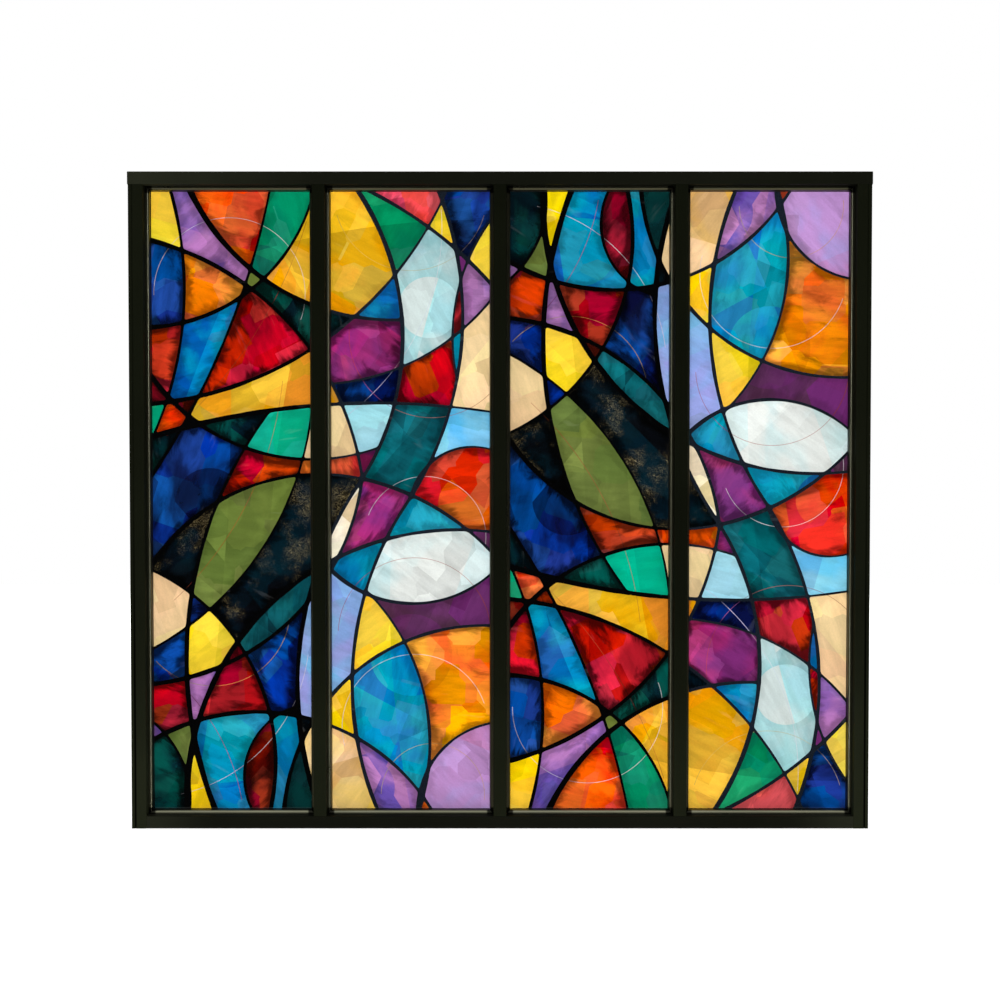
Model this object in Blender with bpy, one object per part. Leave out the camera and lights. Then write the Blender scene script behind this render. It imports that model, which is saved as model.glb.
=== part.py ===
"""Interior glass partition: a dark metal frame that holds a row of fixed glass panes.

Metres, +Z up. X runs along the partition, from its left stile to its right one, and the front looks
towards -Y. The origin is on the floor, under the middle of the partition.
"""

import math

import bmesh
import bpy
from mathutils import Vector

# Overall sizes
PARTITION_WIDTH = 2.400  # over the outer sides of the two stiles
PARTITION_HEIGHT = 2.130
FRAME_DEPTH = 0.100
BAY_COUNT = 4

# Widths of the frame's members, as seen from the front
STILE_FACE = 0.048
MULLION_FACE = 0.042
HEAD_FACE = 0.041
BOTTOM_RAIL_FACE = 0.040

# Rounded long edges of the members
ARRIS_RADIUS = 0.0015
ARRIS_SEGMENTS = 3

# Shadow groove down the front and the back of each stile
GROOVE_OFFSET = 0.0115  # from the stile's outer side to the groove
GROOVE_WIDTH = 0.003
GROOVE_DEPTH = 0.002

# Plates that close the head rail's two ends
END_CAP_THICKNESS = 0.0015
END_CAP_CORNER = 0.003

# Glass panes, which stand in the middle of the frame's depth
GLASS_THICKNESS = 0.010
GLASS_EDGE_GAP = 0.003  # from the pane's edge to the member beside it
GLASS_ARRIS = 0.0008

# Glazing beads, a mitred set of four on each side of each pane
BEAD_WIDTH = 0.012  # from the member to the sight line
BEAD_SETBACK = 0.025  # from the frame's face back to the bead
BEAD_ROUND = 0.008
BEAD_ROUND_SEGMENTS = 8

# Rubber gaskets between the beads and the glass
GASKET_THICKNESS = 0.004
GASKET_WIDTH = 0.006
GASKET_REVEAL = 0.0008  # how far the gasket shows past the bead
GASKET_CHAMFER = 0.0012

# Clearance between pieces that touch
FIT_GAP = 0.0003

SMOOTH_ANGLE = math.radians(35)

# Places worked out from the sizes above
HALF_WIDTH = PARTITION_WIDTH / 2
HALF_DEPTH = FRAME_DEPTH / 2
HEAD_UNDERSIDE = PARTITION_HEIGHT - HEAD_FACE
INNER_WIDTH = PARTITION_WIDTH - 2 * STILE_FACE
BAY_WIDTH = (INNER_WIDTH - (BAY_COUNT - 1) * MULLION_FACE) / BAY_COUNT
BAY_PITCH = BAY_WIDTH + MULLION_FACE
GLASS_FACE = HALF_DEPTH - GLASS_THICKNESS / 2  # depth of the glass below the frame's face
GASKET_BACK = GLASS_FACE - FIT_GAP
GASKET_FRONT = GASKET_BACK - GASKET_THICKNESS
BEAD_BACK = GASKET_FRONT - FIT_GAP


def clear_scene():
    for old in list(bpy.data.objects):
        bpy.data.objects.remove(old, do_unlink=True)


def make_material(name, colour, roughness, metallic=0.0):
    material = bpy.data.materials.new(name)
    material.use_nodes = True
    shader = material.node_tree.nodes["Principled BSDF"]
    shader.inputs["Base Color"].default_value = (*colour, 1.0)
    shader.inputs["Roughness"].default_value = roughness
    shader.inputs["Metallic"].default_value = metallic
    material.diffuse_color = (*colour, 1.0)
    return material


def add_object(name, bm, material, parent):
    """Turns a finished bmesh, in world coordinates, into an object with its origin at its centre."""
    lowest = Vector([min(v.co[axis] for v in bm.verts) for axis in range(3)])
    highest = Vector([max(v.co[axis] for v in bm.verts) for axis in range(3)])
    centre = (lowest + highest) / 2
    bmesh.ops.translate(bm, verts=bm.verts, vec=-centre)
    bmesh.ops.recalc_face_normals(bm, faces=bm.faces)
    mesh = bpy.data.meshes.new(name)
    bm.to_mesh(mesh)
    bm.free()
    mesh.materials.append(material)
    mesh.shade_smooth()
    mesh.set_sharp_from_angle(angle=SMOOTH_ANGLE)
    piece = bpy.data.objects.new(name, mesh)
    piece.location = centre
    piece.parent = parent
    bpy.context.scene.collection.objects.link(piece)
    return piece


def loft(name, start, end, material, parent):
    """Makes one closed solid between two outlines that have the same number of points."""
    bm = bmesh.new()
    first = [bm.verts.new(point) for point in start]
    last = [bm.verts.new(point) for point in end]
    bm.faces.new(first)
    bm.faces.new(last)
    for here in range(len(first)):
        after = (here + 1) % len(first)
        bm.faces.new((first[here], first[after], last[after], last[here]))
    return add_object(name, bm, material, parent)


def arc(centre, radius, start_angle, end_angle, segments):
    """Points along an arc, both ends included."""
    angles = [start_angle + (end_angle - start_angle) * n / segments for n in range(segments + 1)]
    return [(centre[0] + radius * math.cos(a), centre[1] + radius * math.sin(a)) for a in angles]


def rounded_rectangle(low, high, radius, segments=ARRIS_SEGMENTS):
    """Outline of a rectangle with rounded corners, counterclockwise from its low corner."""
    corners = [
        ((low[0] + radius, low[1] + radius), math.pi),
        ((high[0] - radius, low[1] + radius), 1.5 * math.pi),
        ((high[0] - radius, high[1] - radius), 0.0),
        ((low[0] + radius, high[1] - radius), 0.5 * math.pi),
    ]
    points = []
    for centre, angle in corners:
        points += arc(centre, radius, angle, angle + math.pi / 2, segments)
    return points


def grooved_rectangle(low, high, radius, groove_start):
    """A rounded rectangle with a square groove in its two long faces, starting at groove_start."""
    outline = rounded_rectangle(low, high, radius)
    near, far = groove_start, groove_start + GROOVE_WIDTH
    half = len(outline) // 2
    quarter = half // 2
    front_groove = [
        (near, low[1]),
        (near, low[1] + GROOVE_DEPTH),
        (far, low[1] + GROOVE_DEPTH),
        (far, low[1]),
    ]
    back_groove = [
        (far, high[1]),
        (far, high[1] - GROOVE_DEPTH),
        (near, high[1] - GROOVE_DEPTH),
        (near, high[1]),
    ]
    return (
        outline[:quarter]
        + front_groove
        + outline[quarter : half + quarter]
        + back_groove
        + outline[half + quarter :]
    )


def make_rail(name, ends, low_z, high_z, material, parent):
    """A level member: an outline in Y and Z, carried along X between its two ends."""
    outline = rounded_rectangle((-HALF_DEPTH, low_z), (HALF_DEPTH, high_z), ARRIS_RADIUS)
    start, end = ([(x, y, z) for y, z in outline] for x in ends)
    return loft(name, start, end, material, parent)


def make_upright(name, outline, low_z, high_z, material, parent):
    """An upright member: an outline in X and Y, carried up Z."""
    start, end = ([(x, y, z) for x, y in outline] for z in (low_z, high_z))
    return loft(name, start, end, material, parent)


def make_frame(material, cap_material, parent):
    make_rail("head_rail", (-HALF_WIDTH, HALF_WIDTH), HEAD_UNDERSIDE, PARTITION_HEIGHT, material, parent)
    rail_end = HALF_WIDTH - STILE_FACE - FIT_GAP
    make_rail("bottom_rail", (-rail_end, rail_end), 0.0, BOTTOM_RAIL_FACE, material, parent)

    stile_top = HEAD_UNDERSIDE - FIT_GAP
    stile_inner = HALF_WIDTH - STILE_FACE
    left = grooved_rectangle(
        (-HALF_WIDTH, -HALF_DEPTH), (-stile_inner, HALF_DEPTH), ARRIS_RADIUS, -HALF_WIDTH + GROOVE_OFFSET
    )
    right = grooved_rectangle(
        (stile_inner, -HALF_DEPTH),
        (HALF_WIDTH, HALF_DEPTH),
        ARRIS_RADIUS,
        HALF_WIDTH - GROOVE_OFFSET - GROOVE_WIDTH,
    )
    make_upright("left_stile", left, 0.0, stile_top, material, parent)
    make_upright("right_stile", right, 0.0, stile_top, material, parent)

    for number in range(1, BAY_COUNT):
        middle = -stile_inner + number * BAY_PITCH - MULLION_FACE / 2
        outline = rounded_rectangle(
            (middle - MULLION_FACE / 2, -HALF_DEPTH), (middle + MULLION_FACE / 2, HALF_DEPTH), ARRIS_RADIUS
        )
        foot = BOTTOM_RAIL_FACE + FIT_GAP
        make_upright(f"mullion_{number}", outline, foot, stile_top, material, parent)

    cap_outline = rounded_rectangle(
        (-HALF_DEPTH, HEAD_UNDERSIDE), (HALF_DEPTH, PARTITION_HEIGHT), END_CAP_CORNER
    )
    for name, side in (("left_end_cap", -1), ("right_end_cap", 1)):
        inner = side * (HALF_WIDTH + FIT_GAP)
        outer = side * (HALF_WIDTH + FIT_GAP + END_CAP_THICKNESS)
        start, end = ([(x, y, z) for y, z in cap_outline] for x in (inner, outer))
        loft(name, start, end, cap_material, parent)


def bay_opening(number):
    """Low and high corners, in X and Z, of the opening between the members around one bay."""
    low_x = -HALF_WIDTH + STILE_FACE + (number - 1) * BAY_PITCH
    return (low_x, BOTTOM_RAIL_FACE), (low_x + BAY_WIDTH, HEAD_UNDERSIDE)


def bead_outline():
    """Section of a bead: width across from the member, and depth below the frame's face."""
    radius = min(BEAD_ROUND, BEAD_WIDTH - 2 * FIT_GAP, BEAD_BACK - BEAD_SETBACK - FIT_GAP)
    centre = (BEAD_WIDTH - radius, BEAD_SETBACK + radius)
    rounded = arc(centre, radius, -math.pi / 2, 0.0, BEAD_ROUND_SEGMENTS)
    return [(FIT_GAP, BEAD_BACK), (FIT_GAP, BEAD_SETBACK), *rounded, (BEAD_WIDTH, BEAD_BACK)]


def make_beads(face, sign, number, material, parent):
    """The four mitred beads of one bay, on the side of the glass that sign gives (-1 is the front)."""
    (low_x, low_z), (high_x, high_z) = bay_opening(number)
    middle_x, middle_z = (low_x + high_x) / 2, (low_z + high_z) / 2
    half_wide, half_high = (high_x - low_x) / 2, (high_z - low_z) / 2
    sides = {
        "bottom": (Vector((middle_x, 0, low_z)), Vector((1, 0, 0)), Vector((0, 0, 1)), half_wide),
        "top": (Vector((middle_x, 0, high_z)), Vector((1, 0, 0)), Vector((0, 0, -1)), half_wide),
        "left": (Vector((low_x, 0, middle_z)), Vector((0, 0, 1)), Vector((1, 0, 0)), half_high),
        "right": (Vector((high_x, 0, middle_z)), Vector((0, 0, 1)), Vector((-1, 0, 0)), half_high),
    }
    for side, (edge, along, inward, half_length) in sides.items():
        rings = []
        for end in (-1, 1):
            ring = []
            for across, depth in bead_outline():
                reach = end * (half_length - across - FIT_GAP)
                out_of_plane = Vector((0, sign * (HALF_DEPTH - depth), 0))
                ring.append(edge + along * reach + inward * across + out_of_plane)
            rings.append(ring)
        loft(f"{face}_bead_{number}_{side}", rings[0], rings[1], material, parent)


def make_gasket(face, sign, number, material, parent):
    """A closed rubber ring between the beads of one bay and the glass."""
    (low_x, low_z), (high_x, high_z) = bay_opening(number)
    inner = BEAD_WIDTH + GASKET_REVEAL
    outer = inner - GASKET_WIDTH
    section = [
        (outer, GASKET_BACK),
        (outer, GASKET_FRONT),
        (inner - GASKET_CHAMFER, GASKET_FRONT),
        (inner, GASKET_FRONT + GASKET_CHAMFER),
        (inner, GASKET_BACK),
    ]
    bm = bmesh.new()
    rings = []
    for across, depth in section:
        y = sign * (HALF_DEPTH - depth)
        corners = [
            (low_x + across, y, low_z + across),
            (high_x - across, y, low_z + across),
            (high_x - across, y, high_z - across),
            (low_x + across, y, high_z - across),
        ]
        rings.append([bm.verts.new(corner) for corner in corners])
    for here in range(len(rings)):
        ring, next_ring = rings[here], rings[(here + 1) % len(rings)]
        for corner in range(4):
            after = (corner + 1) % 4
            bm.faces.new((ring[corner], ring[after], next_ring[after], next_ring[corner]))
    return add_object(f"{face}_gasket_{number}", bm, material, parent)


def make_pane(number, material, parent):
    (low_x, low_z), (high_x, high_z) = bay_opening(number)
    size = Vector(
        (high_x - low_x - 2 * GLASS_EDGE_GAP, GLASS_THICKNESS, high_z - low_z - 2 * GLASS_EDGE_GAP)
    )
    middle = Vector(((low_x + high_x) / 2, 0, (low_z + high_z) / 2))
    bm = bmesh.new()
    bmesh.ops.create_cube(bm, size=1.0)
    bmesh.ops.scale(bm, verts=bm.verts, vec=size)
    bmesh.ops.bevel(bm, geom=bm.edges, offset=GLASS_ARRIS, segments=1, affect="EDGES")
    bmesh.ops.translate(bm, verts=bm.verts, vec=middle)
    return add_object(f"glass_pane_{number}", bm, material, parent)


def main():
    clear_scene()
    partition = bpy.data.objects.new("partition", None)
    bpy.context.scene.collection.objects.link(partition)

    frame_black = make_material("frame_black", (0.007, 0.007, 0.005), 0.4)
    cap_black = make_material("cap_black", (0.006, 0.006, 0.005), 0.5)
    bead_black = make_material("bead_black", (0.010, 0.010, 0.008), 0.3)
    gasket_rubber = make_material("gasket_rubber", (0.004, 0.004, 0.004), 0.7)
    printed_glass = make_material("printed_glass", (0.20, 0.22, 0.38), 0.08)

    make_frame(frame_black, cap_black, partition)
    for number in range(1, BAY_COUNT + 1):
        make_pane(number, printed_glass, partition)
        for face, sign in (("front", -1), ("back", 1)):
            make_beads(face, sign, number, bead_black, partition)
            make_gasket(face, sign, number, gasket_rubber, partition)


main()
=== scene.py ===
"""Looks of the interior glass partition: black powder-coated frame and panes with a stained-glass print.

Metres, +Z up, the front towards -Y. The picture on the glass spans two bays. It is planned in its own
coordinates, across from its left edge and up from its lower one, and the other two bays carry it upside
down.
"""

import math
from collections import namedtuple

import bpy
import numpy as np
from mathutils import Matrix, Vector
from mathutils.geometry import delaunay_2d_cdt


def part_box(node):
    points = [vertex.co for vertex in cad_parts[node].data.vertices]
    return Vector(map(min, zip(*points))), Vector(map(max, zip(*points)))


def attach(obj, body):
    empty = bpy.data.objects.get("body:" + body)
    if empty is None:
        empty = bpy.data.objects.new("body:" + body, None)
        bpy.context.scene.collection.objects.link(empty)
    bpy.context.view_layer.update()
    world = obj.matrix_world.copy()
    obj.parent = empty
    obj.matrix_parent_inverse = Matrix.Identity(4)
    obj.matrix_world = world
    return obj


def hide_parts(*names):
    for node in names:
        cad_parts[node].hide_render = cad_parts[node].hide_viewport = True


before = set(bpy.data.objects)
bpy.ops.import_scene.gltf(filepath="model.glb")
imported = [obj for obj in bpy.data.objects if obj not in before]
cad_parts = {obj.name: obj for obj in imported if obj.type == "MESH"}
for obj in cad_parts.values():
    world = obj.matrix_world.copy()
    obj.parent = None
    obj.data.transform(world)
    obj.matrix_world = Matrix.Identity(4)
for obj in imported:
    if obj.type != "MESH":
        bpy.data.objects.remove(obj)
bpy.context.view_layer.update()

Texture = namedtuple("Texture", "scale detail roughness distortion", defaults=(4.0, 0.55, 0.0))
Coat = namedtuple("Coat", "roughness shine metal peel_depth")
Light = namedtuple("Light", "place target size radiance")
Arc = namedtuple("Arc", "centre radius middle half ends")
Picture = namedtuple("Picture", "points triangles facets tint wash cast")

# Places taken from the frame
OPENING_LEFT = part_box("left_stile")[1].x
OPENING_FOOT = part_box("bottom_rail")[1].z
OPENING_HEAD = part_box("head_rail")[0].z
HALF_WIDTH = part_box("right_stile")[1].x
BAY_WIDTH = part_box("mullion_1")[0].x - OPENING_LEFT
BAY_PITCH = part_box("mullion_1")[1].x - OPENING_LEFT
BEAD_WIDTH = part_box("front_bead_1_left")[1].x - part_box("front_bead_1_left")[0].x
PICTURE_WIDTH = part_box("mullion_2")[0].x - OPENING_LEFT
PICTURE_HEIGHT = OPENING_HEAD - OPENING_FOOT

# Camera, at the photograph's viewpoint
CAMERA_PLACE = (0.0, -3.515, 1.1377)
CAMERA_DIP = 0.01925  # radians below level
CAMERA_LENS = 38.51
CAMERA_SENSOR = 36.0

# Panes
PANE_COUNT = 4
BAYS_PER_PICTURE = 2
GLASS_ARRIS = 0.0008  # width of the bevel round a pane's faces
RIM_REACH = 1.5 * GLASS_ARRIS  # a point of a face's rim is nearer than this to the pane's side

# Picture's plan
PLAN_STEP = 0.0035  # spacing of the grid on which the lines' outlines are found
PLAN_MARGIN = 0.012
MELT = 0.0022  # how far lines run into each other where they meet
WOBBLE = 0.16  # share by which a line's width swells and narrows
WAVES = ((31, 17, 0.6), (-29, 23, 2.1), (53, 41, 4.0))  # radians a metre across and up, and at the start
BOLD_SHARE, FINE_SHARE = 1.12, 0.84  # how much wider the lines are on the left, and narrower on the right
ARC_STEP = 0.010  # spacing of the points along a plain arc
LEAST_ARC_STEPS = 6
FILL_STEP = 0.014  # spacing of the points inside the cells
FILL_CLEAR = 0.006  # least distance from a line to those points
CUT_TOLERANCE = 1e-4
NO_EDGE, OTHER_EDGE, LINE_EDGE = 0, 1, 2  # what the side of a triangle lies on
BOLD, THICK, MIDDLE, SLENDER = 0.0190, 0.0145, 0.0105, 0.0070  # widths of the lines
HAIR = 0.0021  # width of a hairline

CROSSING = (0.70, 1.10)  # where the winding band and the leaves meet

# Each line is an arc through three points, with its widths where it starts and where it ends. An end inside
# the picture lies on another line.
LINES = (
    # winding band, from top to bottom
    (((0.60, 2.15), (0.83, 1.64), CROSSING), BOLD, MIDDLE),
    ((CROSSING, (0.50, 0.60), (0.60, -0.10)), MIDDLE, BOLD),
    (((0.90, 2.15), (1.03, 1.62), (0.86, 1.04)), THICK, MIDDLE),
    (((0.86, 1.04), (0.67, 0.52), (0.80, -0.10)), MIDDLE, THICK),
    # ripples round the lower right corner
    (((0.90, -0.10), (0.955, 0.20), (1.25, 0.29)), THICK, SLENDER),
    (((0.44, -0.10), (0.671, 0.46), (1.25, 0.60)), THICK, MIDDLE),
    (((0.13, -0.10), (0.437, 0.722), (1.25, 0.90)), BOLD, MIDDLE),
    # leaves on the left
    (((-0.10, 0.42), (0.16, 0.98), CROSSING), BOLD, SLENDER),
    (((-0.10, 0.42), (0.40, 0.58), CROSSING), THICK, MIDDLE),
    ((CROSSING, (0.47, 1.60), (-0.10, 1.90)), MIDDLE, THICK),
    (((0.756, 1.203), (0.24, 1.235), (-0.10, 1.90)), SLENDER, BOLD),
    # fan from the left edge
    (((-0.10, 1.34), (0.42, 1.46), (1.02, 2.15)), THICK, SLENDER),
    (((-0.10, 1.20), (0.55, 1.34), (1.23, 1.30)), BOLD, SLENDER),
    (((-0.10, 1.60), (0.34, 1.72), (0.56, 2.15)), THICK, SLENDER),
    # arcs over the top
    (((0.10, 2.15), (0.32, 1.80), (0.831, 1.62)), BOLD, MIDDLE),
    (((0.40, 2.15), (0.92, 1.92), (1.23, 1.60)), MIDDLE, THICK),
    (((1.011, 1.427), (1.08, 1.88), (1.23, 2.06)), SLENDER, MIDDLE),
    # arcs through the lower left
    (((-0.10, 0.16), (0.30, 0.33), (0.98, -0.10)), THICK, MIDDLE),
    (((0.26, -0.10), (0.13, 0.34), (0.40, 1.325)), BOLD, SLENDER),
    (((-0.10, 0.84), (0.14, 0.72), (0.36, -0.10)), SLENDER, THICK),
    # right side
    (((0.86, 1.04), (1.02, 1.20), (1.23, 1.12)), MIDDLE, SLENDER),
    (((0.563, 0.838), (0.88, 0.69), (1.23, 0.95)), THICK, SLENDER),
    (((0.601, 1.411), (0.90, 1.50), (1.23, 1.86)), SLENDER, MIDDLE),
    ((CROSSING, (0.98, 0.98), (1.23, 0.72)), THICK, MIDDLE),
    (((-0.10, 0.96), (0.20, 1.44), (0.42, 2.15)), MIDDLE, SLENDER),
    # shards across the larger pieces
    (((-0.10, 0.49), (0.32, 0.80), (0.536, 1.339)), SLENDER, SLENDER),
    (((0.04, 2.15), (0.12, 1.72), (-0.06, 1.10)), MIDDLE, SLENDER),
    (((0.712, 0.733), (0.90, 0.40), (0.84, -0.10)), SLENDER, THICK),
    (((-0.10, 0.36), (0.12, 0.12), (0.10, -0.10)), SLENDER, MIDDLE),
    (((0.487, 0.352), (0.31, 0.14), (0.44, -0.10)), SLENDER, MIDDLE),
)

# Edges where a piece of colour changes tone, each through three points and right across the picture
TONE_EDGES = (
    ((-0.10, 0.30), (0.50, 0.86), (1.23, 1.70)),
    ((-0.10, 1.52), (0.56, 1.04), (1.23, 0.40)),
    ((0.12, -0.10), (0.26, 1.02), (0.24, 2.15)),
    ((0.46, -0.10), (0.40, 0.98), (0.66, 2.15)),
    ((0.88, -0.10), (0.80, 0.96), (1.10, 2.15)),
    ((-0.10, 1.02), (0.54, 0.50), (1.23, 0.16)),
    ((-0.10, 1.98), (0.62, 1.70), (1.23, 1.20)),
    ((-0.10, 0.10), (0.60, 0.16), (1.23, 0.46)),
    ((-0.10, 1.66), (0.50, 1.88), (1.23, 1.94)),
    ((0.30, 2.15), (0.80, 1.30), (1.23, 0.90)),
    ((-0.10, 1.24), (0.30, 0.76), (0.90, -0.10)),
    ((0.66, -0.10), (0.96, 0.60), (1.23, 1.44)),
    ((-0.10, 0.58), (0.10, 1.30), (0.48, 2.15)),
)
# and round these circles: centre and radius
TONE_CIRCLES = (
    ((0.20, 1.02), 0.115),
    ((0.36, 1.74), 0.125),
    ((0.92, 1.66), 0.100),
    ((0.86, 0.52), 0.135),
    ((0.24, 0.20), 0.120),
    ((1.04, 1.02), 0.090),
    ((0.70, 0.08), 0.105),
)

# Hairlines drawn over the colours, each through three points
HAIRLINES = (
    (((0.02, 1.70), (0.30, 1.95), (0.50, 1.62)), "pearl"),
    (((0.06, 1.24), (0.30, 1.50), (0.52, 1.94)), "rust"),
    (((0.08, 0.70), (0.30, 0.98), (0.44, 1.42)), "rust"),
    (((0.02, 0.50), (0.24, 0.42), (0.46, 0.64)), "brass"),
    (((0.10, 0.06), (0.36, 0.20), (0.52, 0.52)), "pearl"),
    (((0.30, 0.04), (0.20, 0.30), (0.06, 0.46)), "rust"),
    (((0.62, 1.96), (0.86, 1.78), (1.10, 1.96)), "brass"),
    (((0.64, 1.30), (0.90, 1.62), (0.96, 1.98)), "pearl"),
    (((0.66, 1.60), (0.92, 1.30), (1.12, 1.38)), "rust"),
    (((0.72, 0.98), (0.96, 1.10), (1.10, 0.86)), "pearl"),
    (((0.62, 0.60), (0.86, 0.84), (1.12, 0.62)), "rust"),
    (((0.64, 0.22), (0.84, 0.52), (1.10, 0.36)), "pearl"),
    (((0.76, 0.06), (0.98, 0.22), (1.10, 0.04)), "brass"),
)

# Colours by name, as red, green and blue of 255, the colour that washes over each, and how stormy it is
PALETTE = {
    "night": ((5, 7, 12), "ink", 0.9),
    "navy": ((8, 14, 46), "royal", 1.0),
    "ink": ((4, 26, 36), "bottle", 0.9),
    "royal": ((26, 78, 168), "navy", 0.9),
    "blue": ((18, 106, 182), "cyan", 0.5),
    "sky": ((92, 182, 222), "aqua", 0.2),
    "cyan": ((24, 160, 178), "blue", 0.4),
    "teal": ((16, 108, 116), "ink", 0.5),
    "emerald": ((14, 150, 102), "bottle", 0.3),
    "sea": ((20, 172, 138), "emerald", 0.2),
    "bottle": ((10, 84, 74), "ink", 0.4),
    "olive": ((94, 110, 50), "leaf", 0.3),
    "leaf": ((116, 132, 64), "olive", 0.5),
    "red": ((220, 34, 34), "crimson", 0.9),
    "crimson": ((158, 18, 26), "red", 1.0),
    "maroon": ((86, 12, 20), "crimson", 0.8),
    "aubergine": ((72, 42, 62), "plum", 0.3),
    "magenta": ((182, 52, 116), "plum", 0.8),
    "plum": ((112, 44, 112), "magenta", 0.7),
    "violet": ((96, 78, 164), "lilac", 0.5),
    "lilac": ((190, 128, 182), "lavender", 0.3),
    "lavender": ((142, 152, 208), "sky", 0.2),
    "orange": ((236, 100, 44), "red", 0.7),
    "amber": ((242, 150, 38), "orange", 0.7),
    "gold": ((240, 188, 56), "amber", 0.3),
    "yellow": ((242, 208, 40), "gold", 0.2),
    "straw": ((240, 220, 138), "yellow", 0.2),
    "cream": ((240, 230, 206), "sand", 0.2),
    "sand": ((236, 208, 152), "peach", 0.2),
    "peach": ((246, 206, 160), "gold", 0.2),
    "white": ((214, 218, 214), "aqua", 0.2),
    "aqua": ((162, 212, 216), "white", 0.2),
    "rose": ((226, 82, 102), "red", 0.5),
}
DUSTY = ("night",)  # colours with a pale dust over them
HAIR_COLOURS = {"pearl": (206, 196, 204), "rust": (150, 60, 44), "brass": (178, 150, 84)}
HAIR_COVER = 0.6
LEAD_COLOURS = ((2, 2, 3), (22, 28, 36))  # lines in the left and in the right half
CHIP_AREA = 0.00035  # smaller pieces between the lines take the lines' colour
GLASS_EDGE = (20, 48, 42)

# Share of its half of the picture that each colour is to cover, for the darker, left half and the other
DEEP_SHARES = {
    "night": 11, "navy": 8, "ink": 6, "royal": 7, "blue": 9, "cyan": 4, "teal": 2, "emerald": 3, "sea": 3,
    "bottle": 3, "olive": 7, "red": 18, "crimson": 8, "maroon": 4, "orange": 4, "amber": 3, "gold": 5,
    "yellow": 4, "violet": 3, "sand": 2,
}
LIGHT_SHARES = {
    "sky": 4, "royal": 4, "blue": 4, "cyan": 7, "teal": 4, "emerald": 1, "aqua": 6, "white": 6, "cream": 4,
    "sand": 6, "straw": 6, "peach": 5, "lavender": 6, "violet": 4, "lilac": 6, "magenta": 5, "plum": 3,
    "aubergine": 4, "gold": 7, "yellow": 6, "amber": 7, "orange": 6, "crimson": 3, "rose": 2,
}
COLOUR_SEED = 18
CHOICE_SPREAD = 60  # how much chance there is in the choice of a colour
OVERUSE_COST = 8000
LIKE_COLOURS = 120  # neighbours whose colours are closer than this are avoided
TONE_SEED = 5
TONE_STEPS = (1.02, 1.0, 0.86, 1.08, 0.72, 0.94)  # brightness of the facets within a cell
WASH_STEPS = (0.0, 0.0, 0.3, 0.75)  # how much of the second colour a facet takes

# Paint. A texture's scale is in waves a metre, and a stretch makes it that much finer one way. Its effect
# grows from the first of its levels to the second.
NOISE_LEVELS = (0.3, 0.7)  # most of a noise's values lie between these
SEED_SHIFT = (31.0, 21.7, 12.4)  # how far apart seeds of 0 and 1 are in the textures
SEED_TURN = 97.0  # radians between them
CLOUDS, CLOUD_LEVELS = Texture(5.0, 5.0, 0.5, 0.6), (0.42, 0.64)
CLOUD_COVER = (0.35, 0.9)  # on a calm colour, and on a stormy one
PATCH_SCALE, PATCH_DISORDER = 7.5, 0.9
PATCH_DARK, PATCH_SATURATION = (0.28, -0.12), (0.98, 1.04)
PATCH_HUE = (0.492, 0.514)  # 0.5 leaves a colour as it is
PATCH_SHARE = (0.5, 1.0)  # how much of that dark a calm colour has, and a stormy one
STROKES, STROKE_STRETCH, STROKE_DARK = Texture(7.0, 6.0, 0.6), 5.0, (0.20, -0.14)
STROKE_SHARE = (0.4, 1.0)
WEATHER, WEATHER_STRETCH, STORM_LEVELS = Texture(6.0, 7.0, 0.6, 1.4), 2.2, (0.52, 0.76)
STORM_COVER = (0.06, 0.96)
STORM_SHADE = 0.10  # brightness that a storm leaves
EDGE_REACH = 0.030  # how far the dark along a line reaches
EDGE_RAGGED = (0.016, -0.020)  # by how much it falls short, and goes further
DUST, DUST_LEVELS = Texture(8.0, 4.0, 0.6), (0.46, 0.72)
DUST_COLOUR, DUST_COVER = (226, 200, 138), 0.55
SPECK_SCALE, SPECK_LEVELS = 620.0, (0.10, 0.45)  # a speck fades out from the first to the second
SCRATCHES, SCRATCH_STRETCH, SCRATCH_LEVELS = Texture(26.0, 2.0, 0.5), 14.0, (0.66, 0.72)
SCRATCH_COVER = 0.9
GRIT, GRIT_LEVELS, GRIT_SHARE = Texture(240.0, 2.0, 0.6), (0.42, 0.60), (0.3, 1.8)
GLINTS, GLINT_LEVELS = Texture(5.0, 3.0, 0.5, 0.3), (0.66, 0.74)
GLINT_COVER, GLINT_GAIN, GLINT_LIFT = 0.12, 1.3, (0.12, 0.12, 0.12)
GRAIN, GRAIN_SHADE = Texture(180.0, 2.0), (0.97, 1.03)
PAINT_ROUGHNESS = (0.42, 0.55)

# Finishes of the frame, with colours as red, green and blue of 255
FRAME_COAT = Coat(0.34, 0.02, 0.0, 0.00006)
BEAD_COAT = Coat(0.30, 0.3, 0.95, 0.00002)  # full of metal flake
# One black coat on every member: the colours below differ only as painted light and shade, palest on the
# rails and caps, darkest on the mullions
STILE_COLOUR = (16, 18, 10)
MULLION_COLOUR = (12, 14, 7)
RAIL_COLOUR = (17, 18, 12)
CAP_COLOUR = (17, 18, 12)
BEAD_COLOUR = (86, 86, 71)
DRIFT, DRIFT_SHADE = Texture(3.1, 3.0), (0.88, 1.10)
FLECKS, FLECK_SHADE = Texture(966.0, 1.0), (-0.05, 0.05)
GLOSS, GLOSS_DRIFT = Texture(7.0), (-0.03, 0.04)
PEEL = Texture(420.0, 2.0, 0.5)
GASKET_COLOUR = (6, 6, 6)
GASKET_CLOUDS, GASKET_SHADE = Texture(60.0), (0.8, 1.2)
GASKET_GLOSS, GASKET_ROUGHNESS = Texture(25.0), (0.62, 0.78)
GASKET_GRAIN, GASKET_GRAIN_DEPTH = Texture(900.0, 2.0), 0.00004
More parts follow.
